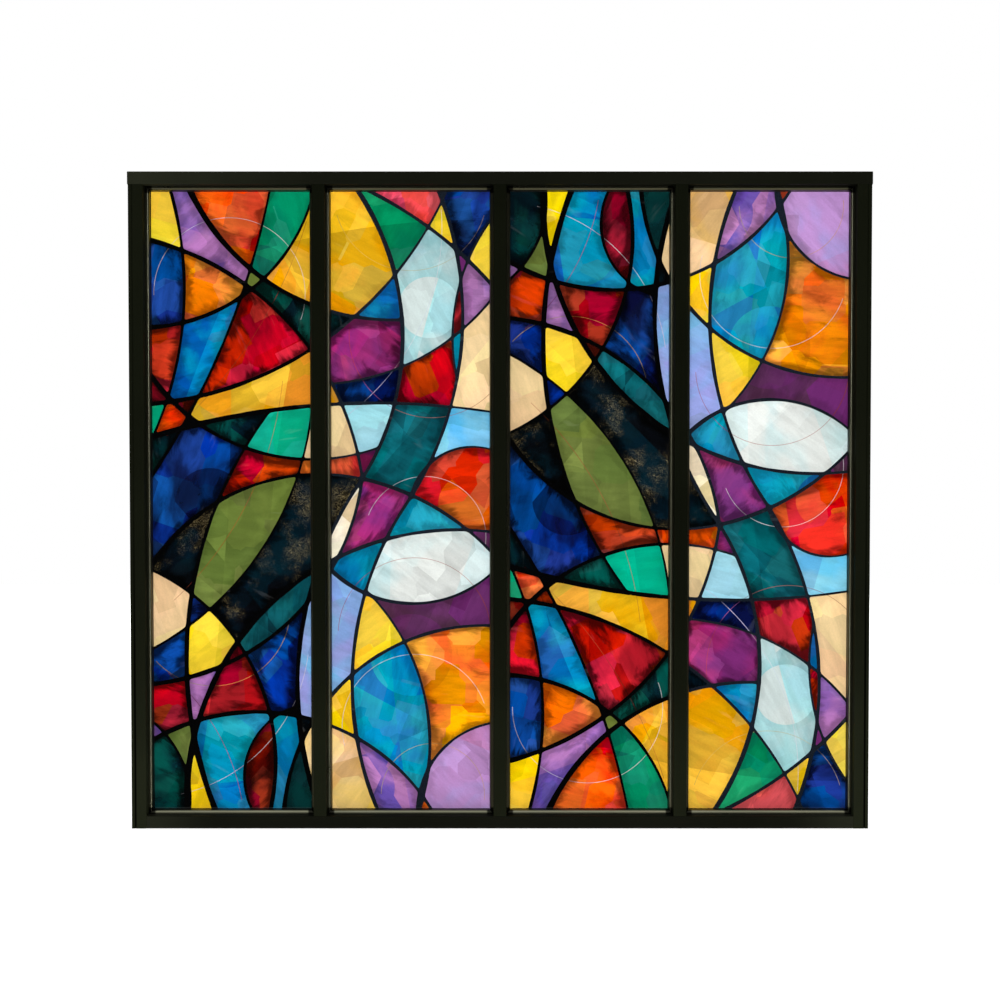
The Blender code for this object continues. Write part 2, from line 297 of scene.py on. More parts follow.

# Painted light and shade on the frame. A shade is the share of its colour that the coat has there.
SHADED_RECESS_DEPTH, SHADED_RECESS_BLEND = 0.0150, 0.003  # painted shade: the beads are black this near the middle of the glass
RECESS_SHADE_LEVEL = 0.06
SHADED_CORNER_GAP, SHADED_CORNER_BLEND = 0.010, 0.0025  # and black with painted shade from this far short of their mitres
MITRE_SHADE_LEVEL = 0.08
BOUNCE_FOOT, BOUNCE_HEAD = 0.10, 0.80  # the painted light from the floor on the uprights fades out between these heights
BOUNCE_GAIN = 2.2
RAIL_LIT_SPAN = (0.92, 1.14)  # painted light: the bottom rail gets paler between these distances from its middle
RAIL_LIT_GAIN = 2.4
HEAD_LIT_SPAN = (-1.2, -0.5)  # and painted light makes the head paler from its left end to here
HEAD_LIT_GAIN = 2.7
GROOVE_OFFSET = 0.0115  # from a stile's outer side to its shadow groove
GROOVE_WIDTH = 0.003
GROOVE_SHADOW_REACH = 0.0045  # from a groove's middle to where the painted shadow beside it ends
GROOVE_SHADOW_COVER = 0.92
GROOVE_SHADOW_FOOT, GROOVE_SHADOW_HEAD = 0.45, 1.15  # the painted shadow fades between these heights
GROOVE_SHADOW_LEFT = 0.1  # to this share

# Lights, as they are towards +X and +Y. The other sides have them mirrored.
KEY_LIGHT = Light((0.0, 7.0, 1.6), (0.0, 0.0, 1.05), (6.0, 4.0), 5.1)
BEAD_STRIPS = (  # with a gap between them that dims the middles of the beads
    Light((3.36, 5.2, 2.6), (0.0, 0.0, 2.6), (0.4, 2.7), 28.0),
    Light((3.36, 5.2, -1.1), (0.0, 0.0, -1.1), (0.4, 1.9), 28.0),
)
GLASS_STRIP = Light((6.5, 4.0, 1.9), (0.0, 0.0, 1.05), (0.5, 3.6), 5.0)
SILL_LIGHT = Light((0.0, 3.5, 3.5), (0.0, 0.0, 0.05), (8.0, 6.0), 2.0)
SILL_FILL = Light((0.0, 5.0, -0.1), (0.0, 0.0, 0.05), (8.0, 2.8), 1.2)
END_LIGHT = Light((6.0, 0.0, 1.2), (0.0, 0.0, 1.05), (0.8, 4.0), 20.0)
HEAD_LIGHT = Light((0.0, 0.0, 5.0), (0.0, 0.0, 1.05), (4.0, 0.8), 8.0)
LIT_BEADS = {1: "left", 2: "left", 3: "right", 4: "right"}  # upright beads that the strips light, by bay
# Surroundings by height, from 0 straight down to 1 straight up: red, green and blue
WORLD_LEVELS = (
    (0.0, (0.95, 0.9, 0.75)),
    (0.30, (0.95, 0.9, 0.75)),
    (0.34, (0.02, 0.02, 0.015)),
    (0.70, (0.02, 0.02, 0.015)),
    (0.92, (0.6, 0.6, 0.6)),
    (1.0, (0.6, 0.6, 0.6)),
)
WHITE = (1.0, 1.0, 1.0, 1.0)
FLOOR_REACH = 8.0
FLOOR_TINT = (1.0, 1.0, 0.99)
FLOOR_CLOUDS, FLOOR_SHADE = Texture(2.0), (0.88, 0.92)
FLOOR_GLOW = 0.7


def linear(colour):
    """Linear light of a colour given as red, green and blue of 255."""
    parts = [part / 255 for part in colour]
    return tuple(p / 12.92 if p <= 0.04045 else ((p + 0.055) / 1.055) ** 2.4 for p in parts)


# Arcs

def arc_through(first, via, last):
    """The arc from first, by way of via, to last."""
    (ax, az), (bx, bz), (cx, cz) = first, via, last
    twice = 2 * (ax * (bz - cz) + bx * (cz - az) + cx * (az - bz))
    squares = [x * x + z * z for x, z in (first, via, last)]
    centre_x = (squares[0] * (bz - cz) + squares[1] * (cz - az) + squares[2] * (az - bz)) / twice
    centre_z = (squares[0] * (cx - bx) + squares[1] * (ax - cx) + squares[2] * (bx - ax)) / twice
    start, turn, sweep = (math.atan2(z - centre_z, x - centre_x) for x, z in (first, via, last))
    turn = (turn - start) % math.tau
    sweep = (sweep - start) % math.tau
    if turn > sweep:
        sweep -= math.tau
    radius = math.hypot(ax - centre_x, az - centre_z)
    return Arc((centre_x, centre_z), radius, start + sweep / 2, sweep / 2, (first, last))


def full_circle(centre, radius):
    """A whole circle, as an arc without ends."""
    return Arc(centre, radius, 0.0, math.pi, ())


def arc_points(arc, outward=0.0):
    """Points along an arc, or along one that lies further out."""
    radius = arc.radius + outward
    count = max(LEAST_ARC_STEPS, math.ceil(2 * abs(arc.half) * radius / ARC_STEP))
    angles = arc.middle + arc.half * np.linspace(-1, 1, count + 1)
    return np.stack([arc.centre[0] + radius * np.cos(angles), arc.centre[1] + radius * np.sin(angles)], 1)


def arc_distance(arc, x, z):
    """Distance from an arc, and the nearest point's share of the way along it."""
    across, up = x - arc.centre[0], z - arc.centre[1]
    beside = np.abs(np.hypot(across, up) - arc.radius)
    turned = ((np.arctan2(up, across) - arc.middle + np.pi) % math.tau - np.pi) / arc.half
    ends = np.min([np.hypot(x - end[0], z - end[1]) for end in arc.ends], 0)
    return np.where(np.abs(turned) <= 1, beside, ends), (np.clip(turned, -1, 1) + 1) / 2


def swell(x, z):
    """A slow, smooth wave between -1 and 1 that makes the lines look drawn by hand."""
    return sum(np.sin(across * x + up * z + start) for across, up, start in WAVES) / len(WAVES)


def line_field(x, z):
    """How far a point lies outside the lines, below zero inside one. Lines melt together where they meet."""
    total = 0.0
    width_share = BOLD_SHARE + (FINE_SHARE - BOLD_SHARE) * np.clip(x / PICTURE_WIDTH, 0, 1)
    width_share = width_share * (1 + WOBBLE * swell(x, z))
    for points, start_width, end_width in LINES:
        away, along = arc_distance(arc_through(*points), x, z)
        half_width = (start_width + (end_width - start_width) * along) / 2
        total = total + np.exp((half_width * width_share - away) / MELT)
    return -MELT * np.log(total)


# Plan of the picture

class Plan:
    """Points and edges that cut the picture up, with the kind of each edge."""

    def __init__(self):
        self.points = []
        self.edges = []
        self.kinds = []

    def add(self, points, edges=(), kind=OTHER_EDGE):
        first = len(self.points)
        self.points += [Vector((float(x), float(z))) for x, z in points]
        self.edges += [(first + int(a), first + int(b)) for a, b in edges]
        self.kinds += [kind] * len(edges)

    def add_path(self, points, closed=False):
        count = len(points)
        self.add(points, [(n, (n + 1) % count) for n in range(count if closed else count - 1)])


def grid_crossings(field, xs, zs):
    """Places where the field changes sign along the grid's edges, and each grid square's four of them."""
    inside = field < 0
    places = []
    numbers = []
    for axis, near, far in ((1, field[:, :-1], field[:, 1:]), (0, field[:-1], field[1:])):
        crossed = (near < 0) != (far < 0)
        row, column = np.nonzero(crossed)
        share = near[row, column] / (near[row, column] - far[row, column])
        x = xs[column] + (share * PLAN_STEP if axis == 1 else 0.0)
        z = zs[row] + (share * PLAN_STEP if axis == 0 else 0.0)
        number = np.full(near.shape, -1)
        number[row, column] = np.arange(len(row)) + sum(len(found) for found in places)
        places.append(np.stack([x, z], 1))
        numbers.append(number)
    level, upright = numbers
    sides = np.stack([level[:-1], upright[:, 1:], level[1:], upright[:, :-1]], -1)
    return np.concatenate(places), sides, inside


def line_outlines():
    """The outlines of all the lines, as points and edges, by marching over a square grid."""
    xs = np.arange(-PLAN_MARGIN, PICTURE_WIDTH + PLAN_MARGIN, PLAN_STEP)
    zs = np.arange(-PLAN_MARGIN, PICTURE_HEIGHT + PLAN_MARGIN, PLAN_STEP)
    field = line_field(*np.meshgrid(xs, zs))
    points, sides, inside = grid_crossings(field, xs, zs)
    count = (sides >= 0).sum(-1)
    pairs = np.sort(sides[count == 2], -1)[:, 2:]
    edges = [tuple(pair) for pair in pairs]
    for row, column in np.argwhere(count == 4):
        below, right, above, left = sides[row, column]
        middle = field[row : row + 2, column : column + 2].mean() < 0
        if middle == inside[row, column]:
            edges += [(below, right), (above, left)]
        else:
            edges += [(below, left), (above, right)]
    return points, edges


def rectangle(low, high):
    return (low, (high[0], low[1]), high, (low[0], high[1]))


def print_area(number):
    """Low and high corners, in the picture, of the flat glass face of a pane of the first picture."""
    low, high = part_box(f"glass_pane_{number}")
    return (
        (low.x - OPENING_LEFT + GLASS_ARRIS, low.z - OPENING_FOOT + GLASS_ARRIS),
        (high.x - OPENING_LEFT - GLASS_ARRIS, high.z - OPENING_FOOT - GLASS_ARRIS),
    )


def plan_picture():
    """All that cuts the picture up, with points that fill the cells."""
    plan = Plan()
    plan.add(*line_outlines(), LINE_EDGE)
    for points in TONE_EDGES:
        plan.add_path(arc_points(arc_through(*points)))
    for centre, radius in TONE_CIRCLES:
        plan.add_path(arc_points(full_circle(centre, radius))[:-1], closed=True)
    for points, _ in HAIRLINES:
        arc = arc_through(*points)
        inner, outer = (arc_points(arc, side * HAIR / 2) for side in (-1, 1))
        plan.add_path(np.concatenate([inner, outer[::-1]]), closed=True)
    for number in range(BAYS_PER_PICTURE):
        plan.add_path(rectangle(*print_area(number + 1)), closed=True)
    plan.add_path(rectangle((0.0, 0.0), (PICTURE_WIDTH, PICTURE_HEIGHT)), closed=True)
    x, z = np.meshgrid(np.arange(0, PICTURE_WIDTH, FILL_STEP), np.arange(0, PICTURE_HEIGHT, FILL_STEP))
    clear = line_field(x, z) > FILL_CLEAR
    plan.add(np.stack([x[clear], z[clear]], 1))
    return plan


def corner_pairs(corners):
    """A triangle's three sides, each from one corner to the next."""
    return zip(corners, corners[1:] + corners[:1])


def connected(count, pairs):
    """Numbers the groups of items that pairs join up, from 0."""
    group = np.arange(count)
    while True:
        low = np.minimum(group[pairs[:, 0]], group[pairs[:, 1]])
        joined = group.copy()
        np.minimum.at(joined, group[pairs[:, 0]], low)
        np.minimum.at(joined, group[pairs[:, 1]], low)
        joined = joined[joined]
        if (joined == group).all():
            return np.unique(group, return_inverse=True)[1]
        group = joined


def cut_picture():
    """Cuts the picture into triangles. Gives points, triangles, and each triangle's cell and facet."""
    plan = plan_picture()
    found = delaunay_2d_cdt(plan.points, plan.edges, [], 0, CUT_TOLERANCE)
    points, edges, triangles, _, origins, _ = found
    points = np.array([tuple(point) for point in points])
    triangles = np.array(triangles)
    middles = points[triangles].mean(1)
    triangles = triangles[((middles > 0) & (middles < (PICTURE_WIDTH, PICTURE_HEIGHT))).all(1)]
    kinds = {}
    for edge, origin in zip(edges, origins):
        if origin:
            kinds[tuple(sorted(edge))] = max(plan.kinds[n] for n in origin)

    sides = {}
    for number, corners in enumerate(triangles.tolist()):
        for a, b in corner_pairs(corners):
            sides.setdefault((min(a, b), max(a, b)), []).append(number)
    joined = [(pair, kinds.get(side, NO_EDGE)) for side, pair in sides.items() if len(pair) == 2]
    in_cell = np.array([pair for pair, kind in joined if kind != LINE_EDGE])
    in_facet = np.array([pair for pair, kind in joined if kind == NO_EDGE])
    return points, triangles, connected(len(triangles), in_cell), connected(len(triangles), in_facet)


# Colours of the picture

def triangle_sizes(points, triangles):
    corners = points[triangles]
    sides = corners[:, 1:] - corners[:, :1]
    return np.abs(sides[:, 0, 0] * sides[:, 1, 1] - sides[:, 0, 1] * sides[:, 1, 0]) / 2


def largest_members(group, sizes):
    """The largest member of each group."""
    order = np.argsort(sizes)
    largest = np.zeros(group.max() + 1, int)
    largest[group[order]] = order
    return largest


def neighbours(triangles, cell, coloured):
    """For each coloured cell, the cells across the lines from it."""
    around = {}
    for corners, number in zip(triangles.tolist(), cell.tolist()):
        if number in coloured:
            for corner in corners:
                around.setdefault(corner, set()).add(number)
    beside = {}
    for corners, number in zip(triangles.tolist(), cell.tolist()):
        if number not in coloured:
            touched = set().union(*(around.get(corner, set()) for corner in corners))
            for one in touched:
                beside.setdefault(one, set()).update(touched - {one})
    return beside


def colour_of(name):
    return np.array(PALETTE[name][0], float)


def choose_colours(areas, centres, beside):
    """A colour name for each cell, unlike its neighbours', that keeps to the shares of its half."""
    rng = np.random.default_rng(COLOUR_SEED)
    whole = PICTURE_WIDTH * PICTURE_HEIGHT
    chosen = {}
    used = {}
    for cell in sorted(areas, key=lambda number: (-round(areas[number], 7), number)):
        left = centres[cell][0] < PICTURE_WIDTH / 2
        shares = DEEP_SHARES if left else LIGHT_SHARES
        unit = whole / 2 / sum(shares.values())
        best, best_score = None, -math.inf
        for name, share in shares.items():
            over = used.get((left, name), 0.0) + areas[cell] - share * unit
            score = rng.uniform(0, CHOICE_SPREAD) - OVERUSE_COST * max(0.0, over) / whole
            for other in beside.get(cell, ()):
                if other in chosen:
                    apart = np.linalg.norm(colour_of(name) - colour_of(chosen[other]))
                    score += min(0.0, apart - LIKE_COLOURS)
            if score > best_score:
                best, best_score = name, score
        chosen[cell] = best
        used[(left, best)] = used.get((left, best), 0.0) + areas[cell]
    return chosen


def colour_cells(middles, sizes, triangles, cell):
    """The colour name of each cell. The lines themselves, and the chips between them, have none."""
    largest = middles[largest_members(cell, sizes)]
    areas = {}
    for number, field in enumerate(line_field(largest[:, 0], largest[:, 1])):
        area = float(sizes[cell == number].sum())
        if field >= 0 and area >= CHIP_AREA:
            areas[number] = area
    centres = {}
    for number, area in areas.items():
        members = cell == number
        centres[number] = tuple((middles[members] * sizes[members, None]).sum(0) / area)
    return choose_colours(areas, centres, neighbours(triangles, cell, areas))


def tone_key(arcs, x, z):
    """Which side of each tone edge a point is on."""
    return tuple(math.dist((x, z), arc.centre) < arc.radius for arc in arcs)


def paint_facets(points, triangles, cell, facet):
    """For each facet: its colour, the colour that washes over it, and its seed, storm and dust."""
    middles = points[triangles].mean(1)
    sizes = triangle_sizes(points, triangles)
    names = colour_cells(middles, sizes, triangles, cell)
    tone_arcs = [arc_through(*arc) for arc in TONE_EDGES] + [full_circle(*circle) for circle in TONE_CIRCLES]
    hairs = [(arc_through(*arc), np.array(linear(HAIR_COLOURS[name]))) for arc, name in HAIRLINES]
    rng = np.random.default_rng(TONE_SEED)
    seeds = {number: rng.uniform(0, 1) for number in sorted(names)}
    tones = {}
    largest = largest_members(facet, sizes)
    tint, wash, cast = (np.zeros((len(largest), 3)) for _ in range(3))
    for number, triangle in enumerate(largest):
        owner = int(cell[triangle])
        x, z = middles[triangle]
        if owner not in names:
            tint[number] = wash[number] = linear(LEAD_COLOURS[int(x > PICTURE_WIDTH / 2)])
            continue
        colour, over, storm = PALETTE[names[owner]]
        key = (owner, tone_key(tone_arcs, x, z))
        if key not in tones:
            tones[key] = (rng.choice(TONE_STEPS), rng.choice(WASH_STEPS))
        bright, share = tones[key]
        base, second = np.array(linear(colour)), np.array(linear(PALETTE[over][0]))
        for arc, hair in hairs:
            if arc_distance(arc, x, z)[0] < HAIR / 2:
                base = base + (hair - base) * HAIR_COVER
                second, bright, share = base, 1.0, 0.0
        tint[number] = (base + (second - base) * share) * bright
        wash[number] = second
        cast[number] = (seeds[owner], storm, names[owner] in DUSTY)
    return tint, wash, cast


def make_picture():
    points, triangles, cells, facets = cut_picture()
    return Picture(points, triangles, facets, *paint_facets(points, triangles, cells, facets))


# Panes

def crop_picture(picture, number):
    """A pane's part of the picture: points from its corner, their depths, triangles and their facets."""
    low, high = print_area((number - 1) % BAYS_PER_PICTURE + 1)
    middles = picture.points[picture.triangles].mean(1)
    wanted = ((middles > low) & (middles < high)).all(1)
    used, triangles = np.unique(picture.triangles[wanted], return_inverse=True)
    triangles = triangles.reshape(-1, 3)
    spots = picture.points[used]
    depth = np.maximum(line_field(spots[:, 0], spots[:, 1]), 0)
    if number > BAYS_PER_PICTURE:
        spots = spots * (1, -1) + (0, low[1] + high[1])
        triangles = triangles[:, ::-1]
    return spots - low, depth, triangles, picture.facets[wanted]


def rim_of(triangles):
    """The sides that only one triangle has, in its direction."""
    sides = dict.fromkeys(side for corners in triangles.tolist() for side in corner_pairs(corners))
    return [(a, b) for a, b in sides if (b, a) not in sides]


def pushed_out(points, low, high):
    """Points of a face's rim, moved to the pane's sides."""
    outer = points.copy()
    for axis, near, far in ((0, low.x, high.x), (2, low.z, high.z)):
        outer[:, axis] = np.where(outer[:, axis] - near < RIM_REACH, near, outer[:, axis])
        outer[:, axis] = np.where(far - outer[:, axis] < RIM_REACH, far, outer[:, axis])
    return outer


def paint_mesh(mesh, picture, facets, edge_count, depths):
    """Puts the facets' colours on the faces, the glass's own on its edge, and the depths on the points."""
    edge_tint = np.tile(linear(GLASS_EDGE), (edge_count, 1))
    for name, edge_value in (("tint", edge_tint), ("wash", edge_tint), ("cast", edge_tint * 0)):
        values = np.concatenate([getattr(picture, name)[facets], edge_value])
        layer = mesh.attributes.new(name, "FLOAT_VECTOR", "FACE")
        layer.data.foreach_set("vector", values.astype(np.float32).ravel())
    layer = mesh.attributes.new("depth", "FLOAT", "POINT")
    layer.data.foreach_set("value", depths.astype(np.float32))


def make_pane(number, picture, material):
    """A printed pane: a closed slab of glass whose two faces carry the picture's facets."""
    spots, depth, triangles, facets = crop_picture(picture, number)
    low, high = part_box(f"glass_pane_{number}")
    spots = spots + (low.x + GLASS_ARRIS, low.z + GLASS_ARRIS)
    count = len(spots)
    front = np.column_stack([spots[:, 0], np.full(count, low.y), spots[:, 1]])
    back = front * (1, 0, 1) + (0, high.y, 0)
    rim = rim_of(triangles)
    rim_points = sorted({a for a, _ in rim})
    outer = pushed_out(front[rim_points], low, high)
    outer_front = outer + (0, GLASS_ARRIS, 0)
    outer_back = outer * (1, 0, 1) + (0, high.y - GLASS_ARRIS, 0)

    front_rank = {point: 2 * count + n for n, point in enumerate(rim_points)}
    back_rank = {point: rank + len(rim_points) for point, rank in front_rank.items()}
    edge_faces = []
    for a, b in rim:
        edge_faces.append((b, a, front_rank[a], front_rank[b]))
        edge_faces.append((front_rank[b], front_rank[a], back_rank[a], back_rank[b]))
        edge_faces.append((back_rank[b], back_rank[a], a + count, b + count))
    faces = triangles.tolist() + (triangles[:, ::-1] + count).tolist() + edge_faces

    mesh = bpy.data.meshes.new(f"printed_pane_{number}")
    mesh.from_pydata(np.concatenate([front, back, outer_front, outer_back]).tolist(), [], faces)
    depths = np.concatenate([depth, depth, np.zeros(2 * len(rim_points))])
    paint_mesh(mesh, picture, np.concatenate([facets, facets]), len(edge_faces), depths)
    mesh.materials.append(material)
    mesh.validate()
    pane = bpy.data.objects.new(mesh.name, mesh)
    bpy.context.scene.collection.objects.link(pane)
    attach(pane, "root")
    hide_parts(f"glass_pane_{number}")
    return pane


# Materials

class Nodes:
    """Nodes of a material or a world. An input is a plain value or another node's output."""

    def __init__(self, owner, shader="Principled BSDF"):
        owner.use_nodes = True
        self.owner = owner
        self.tree = owner.node_tree
        self.shader = self.tree.nodes[shader]

    def add(self, kind, inputs=(), **settings):
        node = self.tree.nodes.new(kind)
        for setting, value in settings.items():
            setattr(node, setting, value)
        for key, value in dict(inputs).items():
            self.set(node.inputs[key], value)
        return node

    def set(self, socket, value):
        if isinstance(value, bpy.types.NodeSocket):
            self.tree.links.new(value, socket)
        else:
            socket.default_value = value

    def finish(self, **values):
        for key, value in values.items():
            self.set(self.shader.inputs[key.replace("_", " ")], value)
        return self.owner

    def place(self):
        return self.add("ShaderNodeTexCoord").outputs["Object"]

    def parts(self, vector):
        return self.add("ShaderNodeSeparateXYZ", {0: vector}).outputs

    def face_value(self, name):
        return self.add("ShaderNodeAttribute", attribute_name=name).outputs["Vector"]

    def point_value(self, name):
        return self.add("ShaderNodeAttribute", attribute_name=name).outputs["Fac"]

    def noise(self, place, texture):
        inputs = dict(zip(("Scale", "Detail", "Roughness", "Distortion"), texture), Vector=place)
        return self.add("ShaderNodeTexNoise", inputs).outputs["Fac"]

    def ramp(self, value, start, end, low=0.0, high=1.0):
        """Smoothly from low to high as the value goes from start to end."""
        inputs = {"Value": value, "From Min": start, "From Max": end, "To Min": low, "To Max": high}
        return self.add("ShaderNodeMapRange", inputs, interpolation_type="SMOOTHSTEP").outputs["Result"]

    def spread(self, noise, low, high):
        """A noise, spread out between low and high."""
        return self.ramp(noise, *NOISE_LEVELS, low, high)

    def between(self, share, low, high):
        """From low to high as a share goes from 0 to 1."""
        return self.ramp(share, 0.0, 1.0, low, high)

    def math(self, operation, *values):
        return self.add("ShaderNodeMath", enumerate(values), operation=operation).outputs[0]

    def vector(self, operation, first, second):
        return self.add("ShaderNodeVectorMath", {0: first, 1: second}, operation=operation).outputs[0]

    def scaled(self, vector, share):
        inputs = {0: vector, "Scale": share}
        return self.add("ShaderNodeVectorMath", inputs, operation="SCALE").outputs[0]

    def stretched(self, place, stretch):
        return self.vector("MULTIPLY", place, (1.0, 1.0, stretch))

    def mixed(self, share, first, second):
        inputs = {"Factor": share, "A": first, "B": second}
        node = self.add("ShaderNodeMix", data_type="RGBA")
        for socket in node.inputs:
            if socket.enabled and socket.name in inputs:
                self.set(socket, inputs[socket.name])
        return next(socket for socket in node.outputs if socket.enabled)

    def bump(self, height, distance):
        inputs = {"Height": height, "Distance": distance, "Strength": 1.0}
        return self.add("ShaderNodeBump", inputs).outputs["Normal"]


def material_nodes(name):
    return Nodes(bpy.data.materials.new(name))


def powder_coat(name, colour, coat, marks=()):
    """Powder coat: a fine orange peel, and colour and gloss that drift a little.

    Each mark is a function that takes the nodes and the place's three parts, and gives a share of the colour.
    """
    nodes = material_nodes(name)
    place = nodes.place()
    drift = nodes.spread(nodes.noise(place, DRIFT), *DRIFT_SHADE)
    flecks = nodes.spread(nodes.noise(place, FLECKS), *FLECK_SHADE)
    shade = nodes.math("ADD", drift, flecks)
    parts = nodes.parts(place)
    for mark in marks:
        shade = nodes.math("MULTIPLY", shade, mark(nodes, parts))
    glossy, dull = (coat.roughness + change for change in GLOSS_DRIFT)
    return nodes.finish(
        Base_Color=nodes.scaled(linear(colour), shade),
        Roughness=nodes.spread(nodes.noise(place, GLOSS), glossy, dull),
        Normal=nodes.bump(nodes.noise(place, PEEL), coat.peel_depth),
        Specular_IOR_Level=coat.shine,
        Metallic=coat.metal,
    )


def painted_floor_bounce(nodes, parts):
    """Painted light: paler towards the floor, as the floor's light falls on the uprights."""
    return nodes.ramp(parts["Z"], BOUNCE_FOOT, BOUNCE_HEAD, BOUNCE_GAIN, 1.0)


def painted_end_light(nodes, parts):
    """Painted light: paler towards both ends, for the bottom rail."""
    return nodes.ramp(nodes.math("ABSOLUTE", parts["X"]), *RAIL_LIT_SPAN, 1.0, RAIL_LIT_GAIN)


def painted_left_light(nodes, parts):
    """Painted light: paler towards the left end, for the head and its caps."""
    return nodes.ramp(parts["X"], *HEAD_LIT_SPAN, HEAD_LIT_GAIN, 1.0)


def groove_painted_shadow(nodes, parts):
    """Painted shadow in and beside the stiles' shadow grooves, darkest towards the floor."""
    middle = HALF_WIDTH - GROOVE_OFFSET - GROOVE_WIDTH / 2
    away = nodes.math("ABSOLUTE", nodes.math("SUBTRACT", nodes.math("ABSOLUTE", parts["X"]), middle))
    shadow_cover = nodes.ramp(away, GROOVE_WIDTH / 2, GROOVE_SHADOW_REACH, GROOVE_SHADOW_COVER, 0.0)
    fade = nodes.ramp(parts["Z"], GROOVE_SHADOW_FOOT, GROOVE_SHADOW_HEAD, 1.0, GROOVE_SHADOW_LEFT)
    return nodes.math("SUBTRACT", 1.0, nodes.math("MULTIPLY", shadow_cover, fade))


def painted_recess_shade(nodes, parts):
    """Painted shade: black on the beads beside the gasket."""
    inward = nodes.math("ABSOLUTE", parts["Y"])
    return nodes.ramp(inward, SHADED_RECESS_DEPTH, SHADED_RECESS_DEPTH + SHADED_RECESS_BLEND, RECESS_SHADE_LEVEL, 1.0)


def shade_near_mitres(nodes, away, half_length):
    """Painted shade: black near the mitres of beads of some half length, by the distance from their middle.
    """
    reach = half_length - BEAD_WIDTH - SHADED_CORNER_GAP
    return nodes.ramp(away, reach - SHADED_CORNER_BLEND, reach + SHADED_CORNER_BLEND, 1.0, MITRE_SHADE_LEVEL)


def upright_mitre_shade(nodes, parts):
    """Painted shade in the corners, for the upright beads."""
    middle = (OPENING_FOOT + OPENING_HEAD) / 2
    away = nodes.math("ABSOLUTE", nodes.math("SUBTRACT", parts["Z"], middle))
    return shade_near_mitres(nodes, away, (OPENING_HEAD - OPENING_FOOT) / 2)


def level_mitre_shade(nodes, parts):
    """Painted shade in the corners, for the level beads of every bay."""
    along = nodes.math("SUBTRACT", parts["X"], OPENING_LEFT + BAY_WIDTH / 2)
    away = nodes.math("PINGPONG", along, BAY_PITCH / 2)
    return shade_near_mitres(nodes, away, BAY_WIDTH / 2)


def rubber(name, colour):
    """Matt black rubber with a fine, soft grain."""
    nodes = material_nodes(name)
    place = nodes.place()
    shade = nodes.spread(nodes.noise(place, GASKET_CLOUDS), *GASKET_SHADE)
    return nodes.finish(
        Base_Color=nodes.scaled(linear(colour), shade),
        Roughness=nodes.spread(nodes.noise(place, GASKET_GLOSS), *GASKET_ROUGHNESS),
        Normal=nodes.bump(nodes.noise(place, GASKET_GRAIN), GASKET_GRAIN_DEPTH),
        Specular_IOR_Level=0.4,
    )


def dress_frame():
    """Gives each of the frame's own pieces its finish, by its kind."""
    upright_bead = powder_coat("bead_coat_upright", BEAD_COLOUR, BEAD_COAT, (painted_recess_shade, upright_mitre_shade))
    level_bead = powder_coat("bead_coat_level", BEAD_COLOUR, BEAD_COAT, (painted_recess_shade, level_mitre_shade))
    finishes = {
        "gasket": rubber("gasket_rubber_black", GASKET_COLOUR),
        "cap": powder_coat("cap_powder_coat", CAP_COLOUR, FRAME_COAT, (painted_left_light,)),
        "head": powder_coat("head_powder_coat", RAIL_COLOUR, FRAME_COAT, (painted_left_light,)),
        "rail": powder_coat("rail_powder_coat", RAIL_COLOUR, FRAME_COAT, (painted_end_light,)),
        "mullion": powder_coat("mullion_powder_coat", MULLION_COLOUR, FRAME_COAT, (painted_floor_bounce,)),
        "stile": powder_coat("stile_powder_coat", STILE_COLOUR, FRAME_COAT, (painted_floor_bounce, groove_painted_shadow)),
        "top": level_bead,
        "bottom": level_bead,
        "left": upright_bead,
        "right": upright_bead,
    }
    for name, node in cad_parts.items():
        if not name.startswith("glass"):
            kind = next(word for word in finishes if word in name.split("_"))
            node.data.materials.clear()
            node.data.materials.append(finishes[kind])


# Paint on the glass

def own_places(nodes, seed):
    """The place as each cell has it for its textures, far from the other cells', straight and turned."""
    own = nodes.vector("ADD", nodes.place(), nodes.scaled(SEED_SHIFT, seed))
    inputs = {"Vector": own, "Angle": nodes.math("MULTIPLY", seed, SEED_TURN)}
    return own, nodes.add("ShaderNodeVectorRotate", inputs, rotation_type="Y_AXIS").outputs[0]


def washed(nodes, own, storm):
    """A facet's colour, with its second colour over it in clouds."""
    clouds = nodes.ramp(nodes.noise(own, CLOUDS), *CLOUD_LEVELS)
    cloudy = nodes.math("MULTIPLY", clouds, nodes.between(storm, *CLOUD_COVER))
    return nodes.mixed(cloudy, nodes.face_value("tint"), nodes.face_value("wash"))


def brushed(nodes, colour, turned, strokes, storm):
    """The colour, varied by flat patches and brush strokes, more so where it is stormy."""
    inputs = {"Vector": turned, "Scale": PATCH_SCALE, "Randomness": PATCH_DISORDER}
    patches = nodes.add("ShaderNodeTexVoronoi", inputs, distance="CHEBYCHEV").outputs["Color"]
    dim, hue, strength = nodes.parts(patches)
    patch_dark = nodes.between(dim, *PATCH_DARK)
    patch_dark = nodes.math("MULTIPLY", patch_dark, nodes.between(storm, *PATCH_SHARE))
    stroke_dark = nodes.spread(strokes, *STROKE_DARK)
    stroke_dark = nodes.math("MULTIPLY", stroke_dark, nodes.between(storm, *STROKE_SHARE))
    inputs = {
        "Hue": nodes.between(hue, *PATCH_HUE),
        "Saturation": nodes.between(strength, *PATCH_SATURATION),
        "Value": nodes.math("SUBTRACT", nodes.math("SUBTRACT", 1.0, patch_dark), stroke_dark),
        "Color": colour,
    }
    return nodes.add("ShaderNodeHueSaturation", inputs).outputs[0]


def storm_cover(nodes, turned, storm):
    """How much the dark covers: ragged along the lines, and in storms."""
    weather = nodes.noise(nodes.stretched(turned, WEATHER_STRETCH), WEATHER)
    ragged = nodes.math("ADD", nodes.point_value("depth"), nodes.spread(weather, *EDGE_RAGGED))
    edge = nodes.ramp(ragged, 0.0, EDGE_REACH, 1.0, 0.0)
    dark = nodes.math("MAXIMUM", nodes.ramp(weather, *STORM_LEVELS), edge)
    return nodes.math("MULTIPLY", dark, nodes.between(storm, *STORM_COVER))


